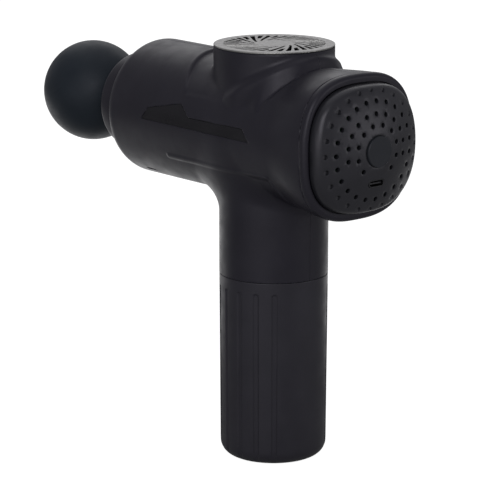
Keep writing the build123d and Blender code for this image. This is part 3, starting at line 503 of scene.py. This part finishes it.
def disc_level(x, y, z):
    """The thin metal disc over the boss, with long and short swirling slots and its spigot."""
    radius = np.hypot(x, y)
    angle = np.arctan2(y, x)
    plate = common(radius - boss_r, z - disc_top_z, disc_edge)
    plate = np.maximum(plate, disc_top_z - disc_thickness - z)
    plate = np.maximum(plate, -slots_level(radius, angle, slot_span[0]))
    plate = np.maximum(plate, -slots_level(radius, angle - slot_pitch / 2, short_slot_start))
    spigot = np.maximum(np.abs(radius - spigot_r) - spigot_half_wall, z - disc_top_z + 0.2)
    return np.minimum(plate, np.maximum(spigot, disc_top_z - spigot_length - z))


def disc_piece():
    """The slotted disc, drawn on its own surface."""
    flat = grid_lines(-boss_r - 0.6, boss_r + 0.6, 0.3)
    plate_span = (disc_top_z - 1.3, disc_top_z + 0.4, 0.17)
    upright = grid_lines(disc_top_z - 5.5, disc_top_z + 0.4, 0.7, (plate_span,))
    disc = field_mesh("slotted_disc", disc_level, (flat, flat, upright))
    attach(disc, "housing")
    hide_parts("top_disc")
    finish_piece(disc, "disc_metal")


# ---- materials ----------------------------------------------------------------------


class Surface:
    """A node material built step by step."""

    def __init__(self, name, metallic=0.0, roughness=0.5, specular=0.5):
        self.material = bpy.data.materials.new(name)
        self.material.use_nodes = True
        self.nodes = self.material.node_tree.nodes
        self.links = self.material.node_tree.links
        self.shader = self.nodes["Principled BSDF"]
        self.shader.inputs["Metallic"].default_value = metallic
        self.shader.inputs["Roughness"].default_value = roughness
        self.shader.inputs["Specular IOR Level"].default_value = specular
        self.place = self.nodes.new("ShaderNodeTexCoord").outputs["Object"]

    def noise(self, scale, detail=3.0, stretch=(1, 1, 1)):
        """Cloudy noise with so many bumps per metre, stretched along an axis if wanted."""
        mapping = self.nodes.new("ShaderNodeMapping")
        mapping.inputs["Scale"].default_value = stretch
        self.links.new(self.place, mapping.inputs["Vector"])
        texture = self.nodes.new("ShaderNodeTexNoise")
        texture.inputs["Scale"].default_value = scale
        texture.inputs["Detail"].default_value = detail
        self.links.new(mapping.outputs["Vector"], texture.inputs["Vector"])
        return texture.outputs["Fac"]

    def spread(self, fac, low, high, start=0.35, end=0.65):
        """Maps noise between start and end to a range of numbers."""
        node = self.nodes.new("ShaderNodeMapRange")
        node.inputs["From Min"].default_value = start
        node.inputs["From Max"].default_value = end
        node.inputs["To Min"].default_value = low
        node.inputs["To Max"].default_value = high
        self.links.new(fac, node.inputs["Value"])
        return node.outputs["Result"]

    def colours(self, fac, dark, light, start=0.35, end=0.65):
        """Base colour that drifts between two tones."""
        ramp = self.nodes.new("ShaderNodeValToRGB")
        ramp.color_ramp.elements[0].position = start
        ramp.color_ramp.elements[1].position = end
        ramp.color_ramp.elements[0].color = (*dark, 1)
        ramp.color_ramp.elements[1].color = (*light, 1)
        self.links.new(fac, ramp.inputs["Fac"])
        self.links.new(ramp.outputs["Color"], self.shader.inputs["Base Color"])

    def rough(self, value):
        """Roughness that follows a value."""
        self.links.new(value, self.shader.inputs["Roughness"])

    def along(self, way):
        """How far a point lies along a direction, in metres."""
        node = self.nodes.new("ShaderNodeVectorMath")
        node.operation = "DOT_PRODUCT"
        node.inputs[1].default_value = way
        self.links.new(self.place, node.inputs[0])
        return node.outputs["Value"]

    def times(self, a, b):
        """Product of two values."""
        node = self.nodes.new("ShaderNodeMath")
        node.operation = "MULTIPLY"
        self.links.new(a, node.inputs[0])
        self.links.new(b, node.inputs[1])
        return node.outputs["Value"]

    def bump(self, height, depth, strength=1.0):
        """Relief of a real depth in metres; calls stack up."""
        node = self.nodes.new("ShaderNodeBump")
        node.inputs["Strength"].default_value = strength
        node.inputs["Distance"].default_value = depth
        self.links.new(height, node.inputs["Height"])
        normal = self.shader.inputs["Normal"]
        if normal.is_linked:
            self.links.new(normal.links[0].from_socket, node.inputs["Normal"])
        self.links.new(node.outputs["Normal"], normal)


def moulded(name, dark, light, roughness, grain=2600, depth=0.00002, specular=0.5, drift=0.05):
    """Moulded plastic or rubber: fine spark-eroded grain, faint handling marks."""
    surface = Surface(name, roughness=roughness, specular=specular)
    surface.shader.inputs["Specular Tint"].default_value = (0.94, 0.91, 1.0, 1)
    surface.colours(surface.noise(55, 4), dark, light)
    surface.rough(surface.spread(surface.noise(130, 5), roughness - drift, roughness + drift))
    surface.bump(surface.noise(grain, 2), depth)
    return surface.material


def metal(name, dark, light, roughness, stretch=(1, 1, 1), scale=900, depth=0.000012):
    """Metal with tool or brushing marks along the stretched axis."""
    surface = Surface(name, metallic=1.0, roughness=roughness)
    marks = surface.noise(scale, 4, stretch)
    surface.colours(marks, dark, light)
    surface.rough(surface.spread(surface.noise(scale / 3, 3, stretch), roughness - 0.07, roughness + 0.07))
    surface.bump(marks, depth)
    return surface.material


def spun_disc(name):
    """Satin aluminium turned on a lathe: rings about the disc's centre."""
    surface = Surface(name, metallic=1.0, roughness=0.38)
    split = surface.nodes.new("ShaderNodeSeparateXYZ")
    surface.links.new(surface.place, split.inputs["Vector"])
    flat = surface.nodes.new("ShaderNodeCombineXYZ")
    surface.links.new(split.outputs["X"], flat.inputs["X"])
    surface.links.new(split.outputs["Y"], flat.inputs["Y"])
    length = surface.nodes.new("ShaderNodeVectorMath")
    length.operation = "LENGTH"
    surface.links.new(flat.outputs["Vector"], length.inputs[0])
    rings = surface.nodes.new("ShaderNodeTexNoise")
    rings.noise_dimensions = "1D"
    rings.inputs["Scale"].default_value = 3200
    rings.inputs["Detail"].default_value = 2
    surface.links.new(length.outputs["Value"], rings.inputs["W"])
    surface.colours(rings.outputs["Fac"], (0.17, 0.168, 0.164), (0.235, 0.232, 0.227))
    surface.rough(surface.spread(surface.noise(300, 3), 0.33, 0.45))
    surface.bump(rings.outputs["Fac"], 0.000012)
    return surface.material


def build_materials():
    """One material for each of the record's slots."""
    shell = ((0.0082, 0.0077, 0.0118), (0.0105, 0.0099, 0.0145))
    grip = ((0.0120, 0.0115, 0.0155), (0.0150, 0.0144, 0.0190))
    head = ((0.0090, 0.0125, 0.0170), (0.0112, 0.0155, 0.0205))
    rear = ((0.0085, 0.0088, 0.0110), (0.0110, 0.0113, 0.0140))
    button = ((0.0075, 0.0090, 0.0115), (0.0095, 0.0112, 0.0140))
    panel = ((0.0056, 0.0054, 0.0066), (0.0072, 0.0070, 0.0084))
    return {
        "body_shell": moulded("soft_touch_black", *shell, 0.42, specular=0.24),
        "grip_rubber": moulded("grip_rubber", *grip, 0.46, 1800, 0.00003, 0.28),
        "head_rubber": moulded("head_rubber", *head, 0.50, 1500, 0.00003, 0.15),
        "rear_plastic": moulded("rear_plastic", *rear, 0.36, specular=0.36),
        "button_plastic": moulded("button_plastic", *button, 0.42, specular=0.22),
        "panel_gloss": moulded("panel_satin", *panel, 0.32, 3000, 0.000006, 0.20),
        "disc_metal": spun_disc("spun_aluminium"),
        "seal_rubber": moulded("seal_rubber", (0.006, 0.006, 0.007), (0.010, 0.010, 0.011), 0.65),
        "frame_alloy": metal("cast_alloy", (0.42, 0.43, 0.44), (0.56, 0.57, 0.58), 0.45),
        "moving_alloy": metal("machined_alloy", (0.52, 0.53, 0.54), (0.66, 0.67, 0.68), 0.30, (0.1, 1, 1)),
        "steel": metal("ground_steel", (0.38, 0.38, 0.39), (0.52, 0.52, 0.53), 0.30),
        "dark_steel": metal("blackened_steel", (0.030, 0.030, 0.032), (0.045, 0.045, 0.048), 0.45),
        "motor_steel": metal("laminated_steel", (0.16, 0.17, 0.18), (0.24, 0.25, 0.27), 0.42, (1, 1, 8)),
        "slide_plastic": moulded("slide_plastic", (0.04, 0.04, 0.042), (0.055, 0.055, 0.058), 0.38),
        "copper_wire": metal("enamelled_copper", (0.48, 0.17, 0.06), (0.62, 0.26, 0.10), 0.28, (1, 1, 6)),
        "fan_plastic": moulded("fan_plastic", (0.03, 0.03, 0.033), (0.045, 0.045, 0.05), 0.45),
        "inner_plastic": moulded("inner_plastic", (0.30, 0.31, 0.33), (0.38, 0.39, 0.41), 0.5),
        "cell_wrap": moulded("cell_wrap", (0.03, 0.16, 0.11), (0.04, 0.21, 0.15), 0.25),
        "board_green": moulded("solder_mask", (0.008, 0.06, 0.025), (0.012, 0.09, 0.04), 0.28),
        "component_black": moulded("component_black", (0.008, 0.008, 0.008), (0.015, 0.015, 0.015), 0.4),
        "wire_sleeve": moulded("wire_sleeve", (0.30, 0.012, 0.01), (0.40, 0.02, 0.015), 0.4),
    }


materials = build_materials()


def finish_piece(piece, slot):
    """Gives a new piece the material of the record's slot."""
    piece.data.materials.clear()
    piece.data.materials.append(materials[slot])


def finish_nodes():
    """Gives every CAD node the material of its slot in the record."""
    for row in frame["record"]["subparts"]:
        node = nodes[row["node"]]
        node.data.materials.clear()
        node.data.materials.append(materials[row["material_slot"]])


def soften_edges(node, width, segments=2):
    """Rounds a CAD node's sharp edges without touching its mesh."""
    weld = nodes[node].modifiers.new("weld", "WELD")
    weld.merge_threshold = 0.000002
    bevel = nodes[node].modifiers.new("edges", "BEVEL")
    bevel.width = width * MM
    bevel.segments = segments
    bevel.limit_method = "ANGLE"
    bevel.angle_limit = radians(35)
    bevel.harden_normals = True


# ---- studio -------------------------------------------------------------------------

backdrop_way = (0.762, -0.647, 0.0)  # level direction away from the viewpoint
aside_way = (0.647, 0.762, 0.0)      # level direction to the viewpoint's left
floor_left = 0.50
floor_right = 0.30
floor_edge = 0.12
floor_back_span = (0.13, 0.21)
floor_front_glow = (0.34, 0.12)
floor_back_glow = 1.3
floor_seen_glow = 0.96
light_aim = (0.03, 0.0, 0.11)

camera_lens = 191.25
camera_place = (-0.87748, 0.76573, 0.37828)
camera_right = Vector((-0.64720, -0.76232, 0.0))
camera_up = Vector((0.17509, -0.14865, 0.97327))


def floor_material():
    """White paper: it glows evenly to the eye, and lights the object mostly from behind it."""
    surface = Surface("pale_floor", roughness=0.9, specular=0.1)
    surface.shader.inputs["Base Color"].default_value = (0.20, 0.20, 0.20, 1)
    surface.shader.inputs["Emission Color"].default_value = (1, 1, 1, 1)
    behind = surface.along(backdrop_way)
    aside = surface.along(aside_way)
    right = surface.spread(aside, 0.0, 1.0, -floor_right - floor_edge, -floor_right + floor_edge)
    left = surface.spread(aside, 1.0, 0.0, floor_left - floor_edge, floor_left + floor_edge)
    depth = surface.spread(behind, 0.0, 1.0, *floor_back_span)
    glow = surface.nodes.new("ShaderNodeMix")
    surface.links.new(surface.times(surface.times(left, right), depth), glow.inputs["Factor"])
    surface.links.new(surface.spread(behind, *floor_front_glow, -0.35, 0.0), glow.inputs["A"])
    glow.inputs["B"].default_value = floor_back_glow
    ray = surface.nodes.new("ShaderNodeLightPath")
    choose = surface.nodes.new("ShaderNodeMix")
    surface.links.new(ray.outputs["Is Camera Ray"], choose.inputs["Factor"])
    surface.links.new(glow.outputs["Result"], choose.inputs["A"])
    choose.inputs["B"].default_value = floor_seen_glow
    surface.links.new(choose.outputs["Result"], surface.shader.inputs["Emission Strength"])
    return surface.material


def floor():
    """A wide pale floor with a glow of its own, as on a light table."""
    mesh = bpy.data.meshes.new("floor")
    half = 6.0
    corners = [(-half, -half, 0), (half, -half, 0), (half, half, 0), (-half, half, 0)]
    mesh.from_pydata(corners, [], [(0, 1, 2, 3)])
    plane = bpy.data.objects.new("floor", mesh)
    bpy.context.scene.collection.objects.link(plane)
    mesh.materials.append(floor_material())


def area_light(name, place, width, height, watts):
    """A soft box at a place in metres, facing the object."""
    light = bpy.data.lights.new(name, "AREA")
    light.shape = "RECTANGLE"
    light.size = width
    light.size_y = height
    light.energy = watts
    box = bpy.data.objects.new(name, light)
    box.location = place
    box.rotation_euler = (Vector(light_aim) - Vector(place)).to_track_quat("-Z", "Y").to_euler()
    bpy.context.scene.collection.objects.link(box)


def studio():
    """An even pale world, with soft boxes above, behind, in front and at the sides."""
    world = bpy.data.worlds.new("studio")
    world.use_nodes = True
    background = world.node_tree.nodes["Background"]
    background.inputs["Color"].default_value = (0.96, 0.95, 1.0, 1)
    background.inputs["Strength"].default_value = 0.38
    bpy.context.scene.world = world
    area_light("top_box", (0.2, -0.1, 1.2), 1.2, 1.2, 2.6)
    area_light("back_box", (0.9, -0.8, 0.9), 1.4, 0.9, 4.0)
    area_light("front_box", (-1.2, 1.3, 1.0), 1.2, 1.2, 16.0)
    area_light("side_box", (-0.35, 1.4, 0.2), 1.2, 0.4, 2.5)
    area_light("rear_box", (-1.25, -0.7, 0.3), 1.1, 0.6, 3.0)


def camera():
    """The viewpoint: behind, to the left and a little above, through a long lens."""
    lens = bpy.data.cameras.new("camera")
    lens.lens = camera_lens
    lens.sensor_width = 36.0
    view = bpy.data.objects.new("camera", lens)
    view.location = camera_place
    back = camera_right.cross(camera_up)
    view.rotation_euler = Matrix((camera_right, camera_up, back)).transposed().to_euler()
    bpy.context.scene.collection.objects.link(view)
    bpy.context.scene.camera = view


# ---- assembly -----------------------------------------------------------------------

finish_nodes()
housing_pieces()
grip_piece()
disc_piece()
soften_edges("rear_rim", 0.5, 3)
soften_edges("rear_cover", 0.18)
soften_edges("power_button", 0.3, 3)
soften_edges("nose_ring", 0.25)
soften_edges("housing_screws", 0.8)
floor()
studio()
camera()
bpy.context.scene.view_settings.view_transform = "Standard"
